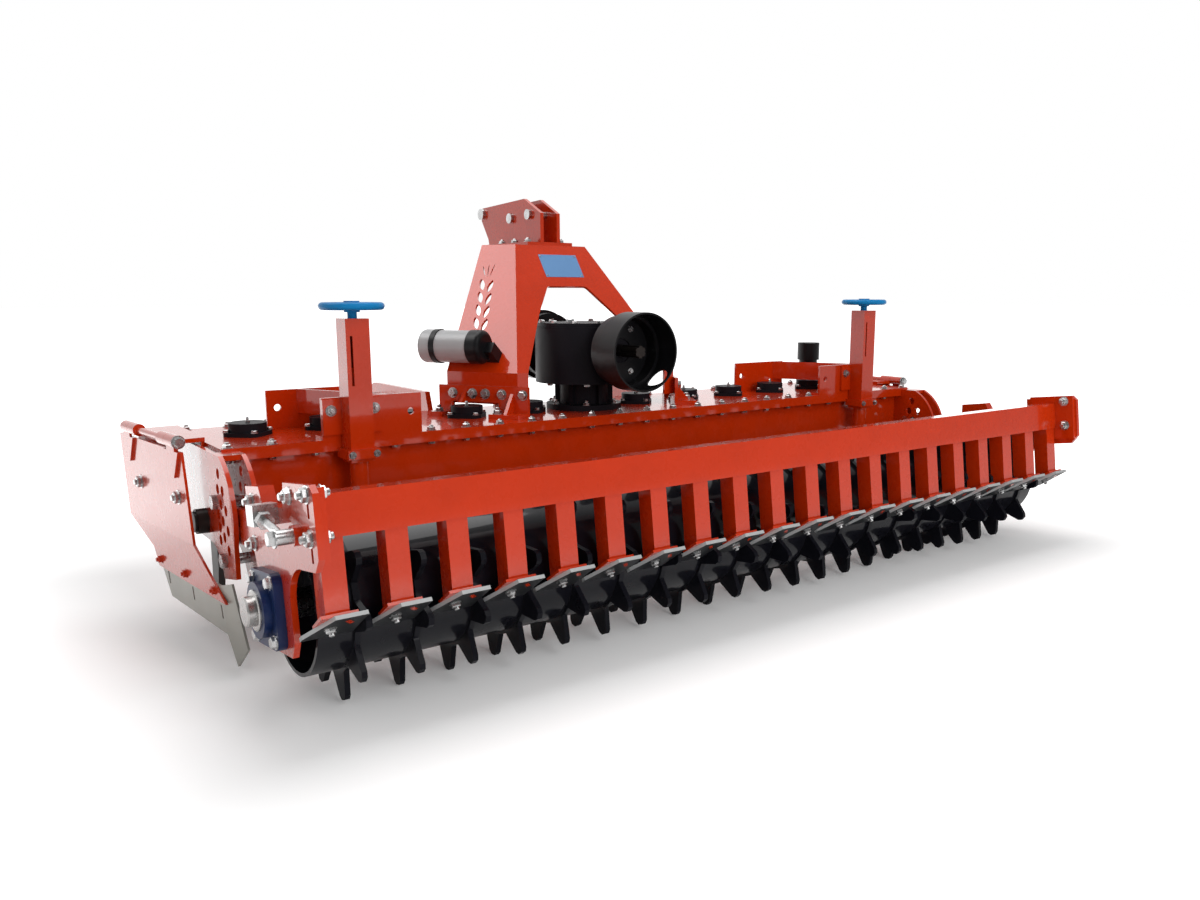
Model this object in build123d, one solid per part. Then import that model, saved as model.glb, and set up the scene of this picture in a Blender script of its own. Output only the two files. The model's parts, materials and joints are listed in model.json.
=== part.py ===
from build123d import *
import math
import os

# Rotary (power) harrow. Millimetres, +X to the machine's right, +Y forward, +Z up from the ground.

# Rotors and their drive
ROTOR_COUNT = 12
ROTOR_PITCH = 200
ROTOR_Y = 96
SPINDLE_R = 25
SPINDLE_LENGTH = 45
RUNNING_FIT = 0.05
SEAT_GAP = 0.3
HUB_R = 85
HUB_T = 28
HOLDER_INNER = 55
HOLDER_OUTER = 83
HOLDER_HALF = 30
HOLDER_DROP = 66
TINE_T = 16
TINE_HALF_TOP = 30
TINE_HALF_TIP = 12
TINE_TRAIL = 22
TINE_TOP_COVER = 8

# Gear trough and its lid
LID_TOP = 468
LID_T = 12
LID_OVERHANG = 36
LID_DEPTH = 404
FLANGE_T = 16
TROUGH_END_INSET = 20
TROUGH_DEPTH = 344
TROUGH_FLOOR_DEPTH = 270
TROUGH_FLOOR = 271
TROUGH_CHAMFER = 55
BOSS_R = 72
BOSS_T = 16
CAP_FLANGE_SIDE = 96
CAP_FLANGE_T = 10
CAP_R = 45
CAP_T = 22

# Fork plates at the trough ends, which guide and index the roller arms
CHEEK_T = 10
FORK_GAP = 39
FORK_TOP = 463
FORK_REAR_Y = -254
FORK_FRONT_Y = 262
PIVOT_Y = -25
PIVOT_Z = 295
PIVOT_R = 24
PIVOT_OUT = 30
INDEX_R = 12
DEPTH_PIN_R = 12
DEPTH_PIN_HEAD_R = 17
DEPTH_PIN_HEAD_T = 12
UPPER_PIN_RADIUS = 118
UPPER_PIN_ANGLE = 149
LOWER_PIN_RADIUS = 161
LOWER_PIN_ANGLE = 203

# Toothed roller
ROLLER_Y = -488
TIP_R = 208
TUBE_R = 146
TUBE_WALL = 8
TUBE_END_GAP = 6
RING_COUNT = 19
RING_END_MARGIN = 75
RING_T = 12
RING_VALLEY_R = 153
TOOTH_COUNT = 10
TOOTH_HALF_ROOT = 34
TOOTH_HALF_TIP = 15
TOOTH_TIP_ROUND = 8
RING_STEP_DEG = 6
END_DISC_RECESS = 70
END_DISC_T = 16
SHAFT_R = 30
SHAFT_OUT = 22

# Roller frame, leaning by FRAME_TILT about the roller axis
FRAME_TILT = 7
ARM_SIDE_GAP = 16
ARM_T = 18
ARM_HALF_H = 40
END_PLATE_T = 12
BEARING_HALF = 75
BEARING_FLANGE_T = 18
BEARING_BODY_R = 56
BEARING_BODY_T = 16
BEAM_REAR = -227
BEAM_SIDE = 80
BEAM_BOTTOM = 147
BEAM_FLANGE_T = 12
POST_COUNT = 20
POST_SIDE = 45
POST_INSET = 5
BLADE_SLOPE = 27
FOOT_LENGTH = 56
FOOT_WIDTH = 70
FOOT_T = 6
FOOT_START_Y = -232
FOOT_START_Z = 12
BLADE_LENGTH = 104
BLADE_WIDTH = 100
BLADE_T = 8
BLADE_CHAMFER_X = 38
BLADE_CHAMFER_LENGTH = 92
STUD_R = 14
STUD_OUT = 44
SCREW_R = 8

# Levelling bar and its two screw jacks
JACK_X = 912
JACK_Y = -137
JACK_SIDE = 58
JACK_WALL = 6
JACK_TOP = 754
JACK_BOTTOM = 417
JACK_FLANGE_HALF = 74
JACK_PLATE_T = 8
STEM_CLEARANCE = 0.3
STEM_TOP = 640
BAR_END_GAP = 50
BAR_TOP = 190
BAR_BOTTOM = 70
BAR_FLANGE = 60
BAR_T = 8
WHEEL_R = 75
WHEEL_Z = 782
WHEEL_RIM_R = 9
SCALE_SLOT_W = 6

# Lid brackets beside the jacks
BRACKET_T = 8
BRACKET_HEIGHT = 100
BRACKET_FRONT_Y = 170
BRACKET_HOLE_R = 9

# Gearbox and power take-off
GEARBOX_X = -ROTOR_PITCH / 2
GEARBOX_R = 146
GEARBOX_BOTTOM = 549
GEARBOX_TOP = 714
GEARBOX_LID_T = 12
NECK_R = 76
NECK_RIB_T = 12
BASE_R = 114
BASE_T = 16
PTO_Z = 649
PTO_R = 17.5
PTO_REACH = 285
PTO_BOSS_R = 62
PTO_BOSS_REACH = 186
GUARD_R = 111
GUARD_STEP_R = 101
GUARD_WALL = 5
GUARD_DEPTH = 125
GUARD_STEP_DEPTH = 48
FINGER_R = 33
FINGER_TURN = 42

# Headstock tower, folded from plate
TOWER_T = 8
TOWER_BOTTOM_Y = 10
TOWER_BOTTOM_Z = 590
TOWER_TOP_Y = 272
TOWER_TOP_Z = 959
TOWER_BOTTOM_HALF = 284
TOWER_TOP_HALF = 128
WING_SPLAY = 31
WING_TOP_WIDTH = 117
WING_BOTTOM_WIDTH = 230
STRIP_BOTTOM_Z = 500
FOOT_BRACKET_T = 10
FOOT_PLATE_T = 12
FOOT_TOP_Z = 552

# Three-point hitch
TOP_LINK_PIN_R = 12.5
SPACER_BOLT_R = 10
TOP_LINK_Y = 638
TOP_LINK_Z = 1074
CHEEK_GAP = 48
TOP_CHEEK_T = 12
BASE_PLATE_HALF = 82
LINK_SPREAD = 825
LINK_T = 16
LINK_PIN_R = 14
LINK_PIN_OUT = 70
LINK_PIN_Y = 717
LINK_PIN_Z = 474
LINK_EYE_R = 47

# Side deflectors
HINGE_OUT = 75
FLARE = 6
HINGE_Z = 482
HINGE_ROD_R = 8
KNUCKLE_R = 15
KNUCKLE_LENGTH = 50
HINGE_LIP = 42
PANEL_T = 6
PANEL_TOP = 461
STRAP_FLARE = 22
STRAP_LENGTH = 62
PANEL_CREASE_Z = 255
PANEL_BOTTOM_Z = 150
PANEL_INSET = 8
WEAR_T = 5

# Small fittings
FILLER_X = 1008
FILLER_Y = 200
DOC_R = 48
DOC_LENGTH = 118
DOC_CAP = 42
DOC_RING = 16
DOC_LID = 36
DOC_LUG_WIDTH = 34
DOC_LUG_LENGTH = 44

TROUGH_HALF_X = ROTOR_COUNT * ROTOR_PITCH / 2 - TROUGH_END_INSET
LID_HALF_X = TROUGH_HALF_X + LID_OVERHANG
HINGE_X = LID_HALF_X + HINGE_OUT
BAR_HALF_X = TROUGH_HALF_X - BAR_END_GAP
LID_REAR_Y = ROTOR_Y - LID_DEPTH / 2
LID_FRONT_Y = ROTOR_Y + LID_DEPTH / 2
LID_BOTTOM = LID_TOP - LID_T
WALL_REAR_Y = ROTOR_Y - TROUGH_DEPTH / 2
WALL_FRONT_Y = ROTOR_Y + TROUGH_DEPTH / 2
ROLLER_Z = TIP_R
FORK_INNER_X = TROUGH_HALF_X + CHEEK_T
FORK_OUTER_X = FORK_INNER_X + FORK_GAP
ARM_INNER_X = FORK_INNER_X + ARM_SIDE_GAP
TUBE_HALF_X = ARM_INNER_X - TUBE_END_GAP
RING_PITCH = 2 * (TUBE_HALF_X - RING_END_MARGIN) / (RING_COUNT - 1)
ARM_OUTER_X = ARM_INNER_X + ARM_T
END_PLATE_OUT_X = ARM_OUTER_X + END_PLATE_T
SHAFT_END_X = END_PLATE_OUT_X + BEARING_FLANGE_T + BEARING_BODY_T + SHAFT_OUT
BOSS_BOTTOM = TROUGH_FLOOR - BOSS_T
HUB_TOP = BOSS_BOTTOM - SEAT_GAP
CAP_CLEAR_Z = LID_TOP + CAP_FLANGE_T + CAP_T + 6
ROTOR_XS = [(i - (ROTOR_COUNT - 1) / 2) * ROTOR_PITCH for i in range(ROTOR_COUNT)]

os.makedirs("parts", exist_ok=True)


def save(shape, node):
    """Write one node's solids."""
    export_step(shape, "parts/" + node + ".step")


def block(x0, x1, y0, y1, z0, z1):
    """Box between two corners."""
    centre = Pos((x0 + x1) / 2, (y0 + y1) / 2, (z0 + z1) / 2)
    return centre * Box(abs(x1 - x0), abs(y1 - y0), abs(z1 - z0))


def rod_x(x0, x1, y, z, radius):
    """Round bar along X."""
    return Pos((x0 + x1) / 2, y, z) * Rot(0, 90, 0) * Cylinder(radius, abs(x1 - x0))


def rod_y(x, y0, y1, z, radius):
    """Round bar along Y."""
    return Pos(x, (y0 + y1) / 2, z) * Rot(90, 0, 0) * Cylinder(radius, abs(y1 - y0))


def rod_z(x, y, z0, z1, radius):
    """Round bar along Z."""
    return Pos(x, y, (z0 + z1) / 2) * Cylinder(radius, abs(z1 - z0))


def plate_x(points, x0, x1, radius=0):
    """Plate with a (Y, Z) outline between two X planes, corners rounded by radius."""
    line = FilletPolyline(*points, radius=radius, close=True) if radius else Polyline(*points, close=True)
    return extrude(Plane.YZ.offset(x0) * make_face(line), x1 - x0)


def plate_z(points, z0, z1):
    """Plate with an (X, Y) outline between two heights."""
    return extrude(Plane.XY.offset(z0) * make_face(Polyline(*points, close=True)), z1 - z0)


def sheet(corners, direction, thickness):
    """Flat sheet through corners in space, thickened along a direction."""
    return extrude(make_face(Polyline(*corners, close=True)), thickness, dir=direction)


def both_sides(shape):
    """A piece and its mirror image across the machine's centre plane."""
    return Part() + [shape, mirror(shape, Plane.YZ)]


def group(shapes):
    """Several separate solids in one node."""
    return Compound(children=[solid for shape in shapes for solid in shape.solids()])


def pair(shape):
    """A solid and its mirror image as two separate solids."""
    return group([shape, mirror(shape, Plane.YZ)])


def lean(shape):
    """Tilt a piece of the roller frame, drawn about the roller axis, into its place."""
    return Pos(0, ROLLER_Y, ROLLER_Z) * Rot(-FRAME_TILT, 0, 0) * shape


def frame_point(y, z):
    """A (Y, Z) point of the machine in the upright coordinates of the roller frame."""
    tilt = math.radians(FRAME_TILT)
    dy = y - ROLLER_Y
    dz = z - ROLLER_Z
    return dy * math.cos(tilt) - dz * math.sin(tilt), dy * math.sin(tilt) + dz * math.cos(tilt)


def polar(radius, degrees):
    """A (Y, Z) point about the arm pivot."""
    angle = math.radians(degrees)
    return PIVOT_Y + radius * math.cos(angle), PIVOT_Z + radius * math.sin(angle)


# Gear trough with its rotor bosses, and the bolted lid
def gear_trough():
    half = TROUGH_DEPTH / 2
    floor = TROUGH_FLOOR_DEPTH / 2
    flange = LID_DEPTH / 2
    shoulder = LID_BOTTOM - FLANGE_T
    bend = TROUGH_FLOOR + TROUGH_CHAMFER
    section = [(-flange, LID_BOTTOM), (-flange, shoulder), (-half, shoulder), (-half, bend), (-floor, TROUGH_FLOOR)]
    section += [(-y, z) for y, z in reversed(section)]
    body = Pos(0, ROTOR_Y, 0) * plate_x(section, -TROUGH_HALF_X, TROUGH_HALF_X)
    bosses = [rod_z(x, ROTOR_Y, BOSS_BOTTOM, TROUGH_FLOOR, BOSS_R) for x in ROTOR_XS]
    bore_top = HUB_TOP + SPINDLE_LENGTH + SEAT_GAP
    bores = [rod_z(x, ROTOR_Y, BOSS_BOTTOM - 1, bore_top, SPINDLE_R + RUNNING_FIT) for x in ROTOR_XS]
    return body + bosses - bores


def bearing_caps():
    caps = []
    for x in ROTOR_XS:
        if x == GEARBOX_X:
            continue
        seat = Pos(x, ROTOR_Y, LID_TOP) * Rot(0, 0, 45)
        flange = extrude(RectangleRounded(CAP_FLANGE_SIDE, CAP_FLANGE_SIDE, CAP_FLANGE_SIDE / 4), CAP_FLANGE_T)
        cap = rod_z(x, ROTOR_Y, LID_TOP, LID_TOP + CAP_FLANGE_T + CAP_T, CAP_R)
        caps.append(seat * flange + cap)
    return group(caps)


save(gear_trough(), "gear_trough")
lid_span = (-LID_HALF_X, LID_HALF_X, LID_REAR_Y, LID_FRONT_Y)
save(block(*lid_span, LID_BOTTOM, LID_TOP), "trough_lid")
save(bearing_caps(), "bearing_caps")


# Rotors: a hub under each boss and two knife tines, neighbours a quarter turn apart
def rotor_hub(x):
    bottom = HUB_TOP - HUB_T
    hub = rod_z(0, 0, bottom, HUB_TOP, HUB_R) + rod_z(0, 0, HUB_TOP, HUB_TOP + SPINDLE_LENGTH, SPINDLE_R)
    holder = block(HOLDER_INNER, HOLDER_OUTER, -HOLDER_HALF, HOLDER_HALF, bottom - HOLDER_DROP, bottom + 1)
    hub += [holder, mirror(holder, Plane.YZ)]
    return hub


def tine():
    top = HUB_TOP - HUB_T - TINE_TOP_COVER
    shoulder = top - HOLDER_DROP
    outline = [(-TINE_HALF_TOP, top), (TINE_HALF_TOP, top), (TINE_HALF_TOP, shoulder)]
    outline += [(TINE_HALF_TIP - TINE_TRAIL, 0), (-TINE_HALF_TIP - TINE_TRAIL, 0), (-TINE_HALF_TOP, shoulder)]
    return plate_x(outline, HOLDER_OUTER, HOLDER_OUTER + TINE_T)


for index, x in enumerate(ROTOR_XS):
    place = Pos(x, ROTOR_Y, 0) * Rot(0, 0, 90 * (index % 2))
    blade = tine()
    if index % 2:
        blade = mirror(blade, Plane.XZ)
    save(place * rotor_hub(x), "rotor_%02d_hub" % (index + 1))
    save(group([place * blade, place * Rot(0, 0, 180) * blade]), "rotor_%02d_tines" % (index + 1))


# Forks: trough end plate and outer sector plate joined by a cap over the roller arm
def fork_outline():
    curve_top = (-165, FORK_TOP)
    sector = Polyline((FORK_FRONT_Y, FORK_TOP), curve_top)
    rear = ThreePointArc(curve_top, (-232, 405), (FORK_REAR_Y, 334))
    lower = Polyline((FORK_REAR_Y, 334), (FORK_REAR_Y + 8, 270), (FORK_REAR_Y + 8, 205), (-150, 185))
    hollow = ThreePointArc((-150, 185), (-112, 236), (-60, 252))
    front = Polyline((-60, 252), (30, 252), (60, 282), (FORK_FRONT_Y, 282), (FORK_FRONT_Y, FORK_TOP))
    return make_face(sector + rear + lower + hollow + front)


INDEX_ROWS = [
    # radius about the pivot, first and last angle
    (118, 163, 191),
    (150, 142, 184),
    (182, 135, 191),
]
INDEX_STEP_DEG = 14


def forks():
    sector = Plane.YZ * fork_outline()
    outer = extrude(sector.moved(Pos(FORK_OUTER_X, 0, 0)), CHEEK_T, dir=(1, 0, 0))
    inner = extrude(sector.moved(Pos(TROUGH_HALF_X, 0, 0)), CHEEK_T, dir=(1, 0, 0))
    end = [(WALL_REAR_Y - 20, LID_BOTTOM), (WALL_REAR_Y - 20, TROUGH_FLOOR), (WALL_FRONT_Y, TROUGH_FLOOR)]
    end.append((WALL_FRONT_Y, LID_BOTTOM))
    inner = inner - block(TROUGH_HALF_X, FORK_OUTER_X, LID_REAR_Y, LID_FRONT_Y, LID_BOTTOM, LID_TOP)
    inner += plate_x(end, TROUGH_HALF_X, FORK_INNER_X)
    cap = block(TROUGH_HALF_X, FORK_OUTER_X + CHEEK_T, -165, LID_REAR_Y, FORK_TOP - 12, FORK_TOP)
    fork = inner + outer + cap
    far = FORK_OUTER_X + CHEEK_T + 1
    holes = []
    for radius, first, last in INDEX_ROWS:
        steps = round((last - first) / INDEX_STEP_DEG)
        for step in range(steps + 1):
            y, z = polar(radius, first + (last - first) * step / steps)
            holes.append(rod_x(TROUGH_HALF_X - 1, far, y, z, INDEX_R))
    for radius, degrees in pin_places():
        y, z = polar(radius, degrees)
        holes.append(rod_x(TROUGH_HALF_X - 1, far, y, z, DEPTH_PIN_R + RUNNING_FIT))
    holes.append(rod_x(FORK_INNER_X, far, PIVOT_Y, PIVOT_Z, PIVOT_R + RUNNING_FIT))
    return fork - holes


def pin_places():
    return [(UPPER_PIN_RADIUS, UPPER_PIN_ANGLE), (LOWER_PIN_RADIUS, LOWER_PIN_ANGLE)]


def arm_pins():
    outside = FORK_OUTER_X + CHEEK_T
    pins = []
    for radius, degrees in pin_places():
        y, z = polar(radius, degrees)
        shank = rod_x(TROUGH_HALF_X, outside, y, z, DEPTH_PIN_R)
        head = extrude(Plane.YZ.offset(outside) * Pos(y, z) * RegularPolygon(DEPTH_PIN_HEAD_R, 6), DEPTH_PIN_HEAD_T)
        pins.append(shank + head)
    return group(pins + [mirror(pin, Plane.YZ) for pin in pins])


def arm_pivot():
    outside = FORK_OUTER_X + CHEEK_T
    bush = rod_x(FORK_INNER_X, outside + PIVOT_OUT, PIVOT_Y, PIVOT_Z, PIVOT_R)
    return bush + rod_x(outside, outside + PIVOT_OUT - 6, PIVOT_Y, PIVOT_Z, PIVOT_R + 5)


save(pair(forks()), "forks")
save(arm_pins(), "arm_pins")
save(pair(arm_pivot()), "arm_pivots")


# Roller frame: arms, end plates, bearings, scraper beam with its posts, and the scraper blades
PIVOT_FRAME = frame_point(PIVOT_Y, PIVOT_Z)
UPPER_PIN_FRAME = frame_point(*polar(UPPER_PIN_RADIUS, UPPER_PIN_ANGLE))
ARM_TOP = UPPER_PIN_FRAME[1] - DEPTH_PIN_R - SEAT_GAP
ARM_BOTTOM = PIVOT_FRAME[1] - ARM_HALF_H
HOOK = [(112, 234), (22, 236), (4, 201), (-122, 201)]
PLATE_TOP = 249
PLATE_REAR = -293
TONGUE_HALF_FRONT = 95
TONGUE_REAR = -113
TONGUE_BOTTOM = -86


def roller_arm():
    outline = [(PIVOT_FRAME[0], ARM_BOTTOM), (PIVOT_FRAME[0], ARM_TOP), (HOOK[0][0] + 6, ARM_TOP)]
    outline += HOOK + [(HOOK[-1][0], ARM_BOTTOM + 5), (60, ARM_BOTTOM)]
    arm = plate_x(outline, ARM_INNER_X, ARM_OUTER_X)
    arm += rod_x(ARM_INNER_X, ARM_OUTER_X, *PIVOT_FRAME, ARM_HALF_H)
    bore = PIVOT_R + RUNNING_FIT
    return arm - rod_x(ARM_INNER_X - 1, ARM_OUTER_X + 1, *PIVOT_FRAME, bore)


def end_plate():
    scallop_start = (-199, 94)
    scallop_end = (TONGUE_REAR, 29)
    top = Polyline(scallop_end, (TONGUE_REAR, -55), (-93, TONGUE_BOTTOM), (70, TONGUE_BOTTOM), (TONGUE_HALF_FRONT, -55))
    front = Polyline((TONGUE_HALF_FRONT, -55), (78, 65), (101, 133), *HOOK, (-136, PLATE_TOP), (PLATE_REAR + 14, PLATE_TOP))
    rear = Polyline((PLATE_REAR + 14, PLATE_TOP), (PLATE_REAR, PLATE_TOP - 14), (PLATE_REAR, 120), (PLATE_REAR + 22, 96), scallop_start)
    scallop = ThreePointArc(scallop_start, (-140, 76), scallop_end)
    face = make_face(top + front + rear + scallop)
    plate = extrude(Plane.YZ.offset(ARM_OUTER_X) * face, END_PLATE_T)
    shaft_hole = rod_x(ARM_OUTER_X - 1, END_PLATE_OUT_X + 1, 0, 0, BEARING_BODY_R - 12)
    slots = []
    for z0, z1 in ((190, 216), (112, 138)):
        slots.append(block(ARM_OUTER_X - 1, END_PLATE_OUT_X + 1, -269, -259, z0, z1))
    return plate - shaft_hole - slots


def roller_bearing():
    square = RectangleRounded(2 * BEARING_HALF, 2 * BEARING_HALF, 22)
    flange = extrude(Plane.YZ.offset(END_PLATE_OUT_X) * square, BEARING_FLANGE_T)
    body_end = END_PLATE_OUT_X + BEARING_FLANGE_T + BEARING_BODY_T
    body = flange + rod_x(END_PLATE_OUT_X, body_end, 0, 0, BEARING_BODY_R)
    return body - rod_x(END_PLATE_OUT_X - 1, body_end + 1, 0, 0, SHAFT_R + RUNNING_FIT)


POST_XS = [(i - (POST_COUNT - 1) / 2) * RING_PITCH for i in range(POST_COUNT)]


def slope_point(along, below):
    """A point of the scraper seat: along its slope from the rear, and below its top face."""
    slope = math.radians(BLADE_SLOPE)
    y = FOOT_START_Y + along * math.cos(slope) - below * math.sin(slope)
    z = FOOT_START_Z - along * math.sin(slope) - below * math.cos(slope)
    return y, z


def scraper_beam():
    end = ARM_OUTER_X - BEAM_FLANGE_T
    beam = block(-end, end, BEAM_REAR, BEAM_REAR + BEAM_SIDE, BEAM_BOTTOM, BEAM_BOTTOM + BEAM_SIDE)
    flange_top = BEAM_BOTTOM + BEAM_SIDE + 17
    flange = block(end, ARM_OUTER_X, PLATE_REAR + 6, HOOK[-1][0] - 8, BEAM_BOTTOM - 35, flange_top)
    slope = math.tan(math.radians(BLADE_SLOPE))
    rear = BEAM_REAR + POST_INSET
    front = rear + POST_SIDE
    seat_rear = FOOT_START_Z - slope * (rear - FOOT_START_Y)
    seat_front = FOOT_START_Z - slope * (front - FOOT_START_Y)
    post = [(rear, BEAM_BOTTOM + 1), (front, BEAM_BOTTOM + 1), (front, seat_front - 1), (rear, seat_rear - 1)]
    foot = [slope_point(0, 0), slope_point(FOOT_LENGTH, 0), slope_point(FOOT_LENGTH, FOOT_T), slope_point(0, FOOT_T)]
    pieces = [flange, mirror(flange, Plane.YZ)]
    for x in POST_XS:
        pieces.append(plate_x(post, x - POST_SIDE / 2, x + POST_SIDE / 2))
        pieces.append(plate_x(foot, x - FOOT_WIDTH / 2, x + FOOT_WIDTH / 2))
    return beam + pieces


def scraper_blades():
    slope = math.radians(BLADE_SLOPE)
    origin = slope_point(-6, FOOT_T)
    seat = Plane(origin=(0, *origin), x_dir=(1, 0, 0), z_dir=(0, -math.sin(slope), -math.cos(slope)))
    half = BLADE_WIDTH / 2
    outline = [(-half + BLADE_CHAMFER_X, 0), (half, 0), (half, -BLADE_LENGTH), (-half, -BLADE_LENGTH)]
    outline.append((-half, -BLADE_CHAMFER_LENGTH))
    blade = extrude(seat * make_face(Polyline(*outline, close=True)), BLADE_T)
    return group([Pos(x, 0, 0) * blade for x in POST_XS])


def scraper_adjusters():
    stud_y, stud_z = -205, 158
    nut_y, nut_z = -72, 190
    lane = END_PLATE_OUT_X + 30
    stud = rod_x(END_PLATE_OUT_X, END_PLATE_OUT_X + STUD_OUT, stud_y, stud_z, STUD_R)
    nut = block(END_PLATE_OUT_X, END_PLATE_OUT_X + 46, nut_y - 22, nut_y + 22, nut_z - 20, nut_z + 20)
    run = math.hypot(nut_y - stud_y, nut_z - stud_z)
    rise = math.degrees(math.atan2(nut_z - stud_z, nut_y - stud_y))
    screw = Pos(lane, (nut_y + stud_y) / 2, (nut_z + stud_z) / 2) * Rot(rise - 90, 0, 0) * Cylinder(SCREW_R, run)
    return stud + nut + screw


save(pair(lean(roller_arm())), "roller_arms")
save(pair(lean(end_plate())), "roller_end_plates")
save(pair(lean(roller_bearing())), "roller_bearings")
save(lean(scraper_beam()), "scraper_beam")
save(lean(scraper_blades()), "scraper_blades")
save(pair(lean(scraper_adjusters())), "scraper_adjusters")


# Toothed roller: rings of ten teeth on an open tube, each ring turned a little from the last
def toothed_ring(degrees):
    root = TUBE_R - TUBE_WALL / 2
    tooth = [(-TOOTH_HALF_ROOT, root), (-TOOTH_HALF_TIP, TIP_R - TOOTH_TIP_ROUND)]
    tooth += [(-TOOTH_HALF_TIP + TOOTH_TIP_ROUND, TIP_R), (TOOTH_HALF_TIP - TOOTH_TIP_ROUND, TIP_R)]
    tooth += [(TOOTH_HALF_TIP, TIP_R - TOOTH_TIP_ROUND), (TOOTH_HALF_ROOT, root)]
    shape = make_face(Polyline(*tooth, close=True))
    ring = Circle(RING_VALLEY_R)
    ring += [Rot(0, 0, degrees + 180 + 360 / TOOTH_COUNT * i) * shape for i in range(TOOTH_COUNT)]
    ring -= Circle(root)
    return extrude(Plane.YZ.offset(-RING_T / 2) * ring, RING_T)


def roller_drum():
    tube = rod_x(-TUBE_HALF_X, TUBE_HALF_X, 0, 0, TUBE_R)
    tube -= rod_x(-TUBE_HALF_X - 1, TUBE_HALF_X + 1, 0, 0, TUBE_R - TUBE_WALL)
    rings = []
    for i in range(RING_COUNT):
        offset = i - (RING_COUNT - 1) / 2
        rings.append(Pos(offset * RING_PITCH, 0, 0) * toothed_ring(RING_STEP_DEG * offset))
    inner = TUBE_HALF_X - END_DISC_RECESS
    disc = rod_x(inner - END_DISC_T, inner, 0, 0, TUBE_R - TUBE_WALL / 2)
    disc -= rod_x(inner - END_DISC_T - 1, inner + 1, 0, 0, SHAFT_R)
    return Pos(0, ROLLER_Y, ROLLER_Z) * (tube + rings + [disc, mirror(disc, Plane.YZ)])


def roller_axle():
    inner = TUBE_HALF_X - END_DISC_RECESS - END_DISC_T
    shaft = rod_x(inner - END_DISC_T, SHAFT_END_X, ROLLER_Y, ROLLER_Z, SHAFT_R)
    return chamfer(shaft.edges().sort_by(Axis.X)[-1], 3)


save(roller_drum(), "roller_drum")
save(pair(roller_axle()), "roller_axles")


# Levelling bar on two stems that slide in the screw jacks
def jack(x):
    half = JACK_SIDE / 2
    hole = half - JACK_WALL
    tube = block(-half, half, -half, half, JACK_BOTTOM, JACK_TOP)
    seat = LID_REAR_Y - JACK_Y
    flange_z = (LID_TOP + 12, LID_TOP + BRACKET_HEIGHT - 3)
    tube += block(-JACK_FLANGE_HALF, JACK_FLANGE_HALF, seat - JACK_PLATE_T, seat, *flange_z)
    collar = half + 11
    tube += block(-collar, collar, -collar, seat, LID_BOTTOM - FLANGE_T - 14, LID_BOTTOM - 8)
    tube -= block(-hole, hole, -hole, hole, JACK_BOTTOM - 60, JACK_TOP - JACK_PLATE_T)
    slot_x = -half + 10
    tube -= block(slot_x, slot_x + SCALE_SLOT_W, -half - 1, -hole, LID_TOP + 130, JACK_TOP - 40)
    return Pos(x, JACK_Y, 0) * tube


def handwheel(x):
    rim = Pos(0, 0, WHEEL_Z) * Torus(WHEEL_R - WHEEL_RIM_R, WHEEL_RIM_R)
    dish = Pos(0, 0, WHEEL_Z - 4) * Cylinder(WHEEL_R - WHEEL_RIM_R, 6)
    hub = rod_z(0, 0, WHEEL_Z - 14, WHEEL_Z + 12, 18)
    stem = rod_z(0, 0, JACK_TOP, WHEEL_Z, 11)
    return Pos(x, JACK_Y, 0) * (rim + dish + hub + stem)


def levelling_bar():
    half = BAR_FLANGE / 2
    section = [(JACK_Y - half, BAR_TOP), (JACK_Y + half, BAR_TOP), (JACK_Y + half, BAR_TOP - BAR_T)]
    section += [(JACK_Y + BAR_T / 2, BAR_TOP - BAR_T), (JACK_Y + BAR_T / 2, BAR_BOTTOM)]
    section += [(JACK_Y - half, BAR_BOTTOM), (JACK_Y - half, BAR_BOTTOM + BAR_T)]
    section += [(JACK_Y - BAR_T / 2, BAR_BOTTOM + BAR_T), (JACK_Y - BAR_T / 2, BAR_TOP - BAR_T)]
    section.append((JACK_Y - half, BAR_TOP - BAR_T))
    bar = plate_x(section, -BAR_HALF_X, BAR_HALF_X)
    side = JACK_SIDE / 2 - JACK_WALL - STEM_CLEARANCE
    stems = [rod_z(x, JACK_Y, BAR_TOP - 1, STEM_TOP, side) for x in (-JACK_X, JACK_X)]
    return bar + stems


save(group([jack(-JACK_X), jack(JACK_X)]), "jacks")
save(group([handwheel(-JACK_X), handwheel(JACK_X)]), "handwheels")
save(levelling_bar(), "levelling_bar")

BRACKETS = [
    # front wall left and right, rear wall left and right, web at the front and at the rear (X)
    (-1033, -800, -986, -732, -958, -820),
    (597, 830, 736, 1000, 775, 922),
]


def jack_bracket(front_left, front_right, rear_left, rear_right, web_front, web_rear):
    top = LID_TOP + BRACKET_HEIGHT
    front = BRACKET_FRONT_Y
    rear = LID_REAR_Y
    walls = block(front_left, front_right, front - BRACKET_T, front, LID_TOP, top)
    walls += block(rear_left, rear_right, rear, rear + BRACKET_T, LID_TOP, top)
    web = [(web_front, front - 1), (web_front + BRACKET_T, front - 1), (web_rear + BRACKET_T, rear + 1), (web_rear, rear + 1)]
    walls += plate_z(web, CAP_CLEAR_Z, top)
    walls += block(front_left, front_right, front, front + 45, LID_TOP, LID_TOP + BRACKET_T)
    walls += block(rear_left, rear_right, rear, rear + 50, LID_TOP, LID_TOP + BRACKET_T)
    hole_z = LID_TOP + BRACKET_HEIGHT * 0.55
    holes = [rod_y(x, front - 20, front + 20, hole_z, BRACKET_HOLE_R) for x in (front_left + 28, front_right - 28)]
    holes.append(rod_y(rear_right - 28 if rear_left < 0 else rear_left + 28, rear - 20, rear + 20, hole_z, BRACKET_HOLE_R))
    return walls - holes


save(group([jack_bracket(*row) for row in BRACKETS]), "jack_brackets")


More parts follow.
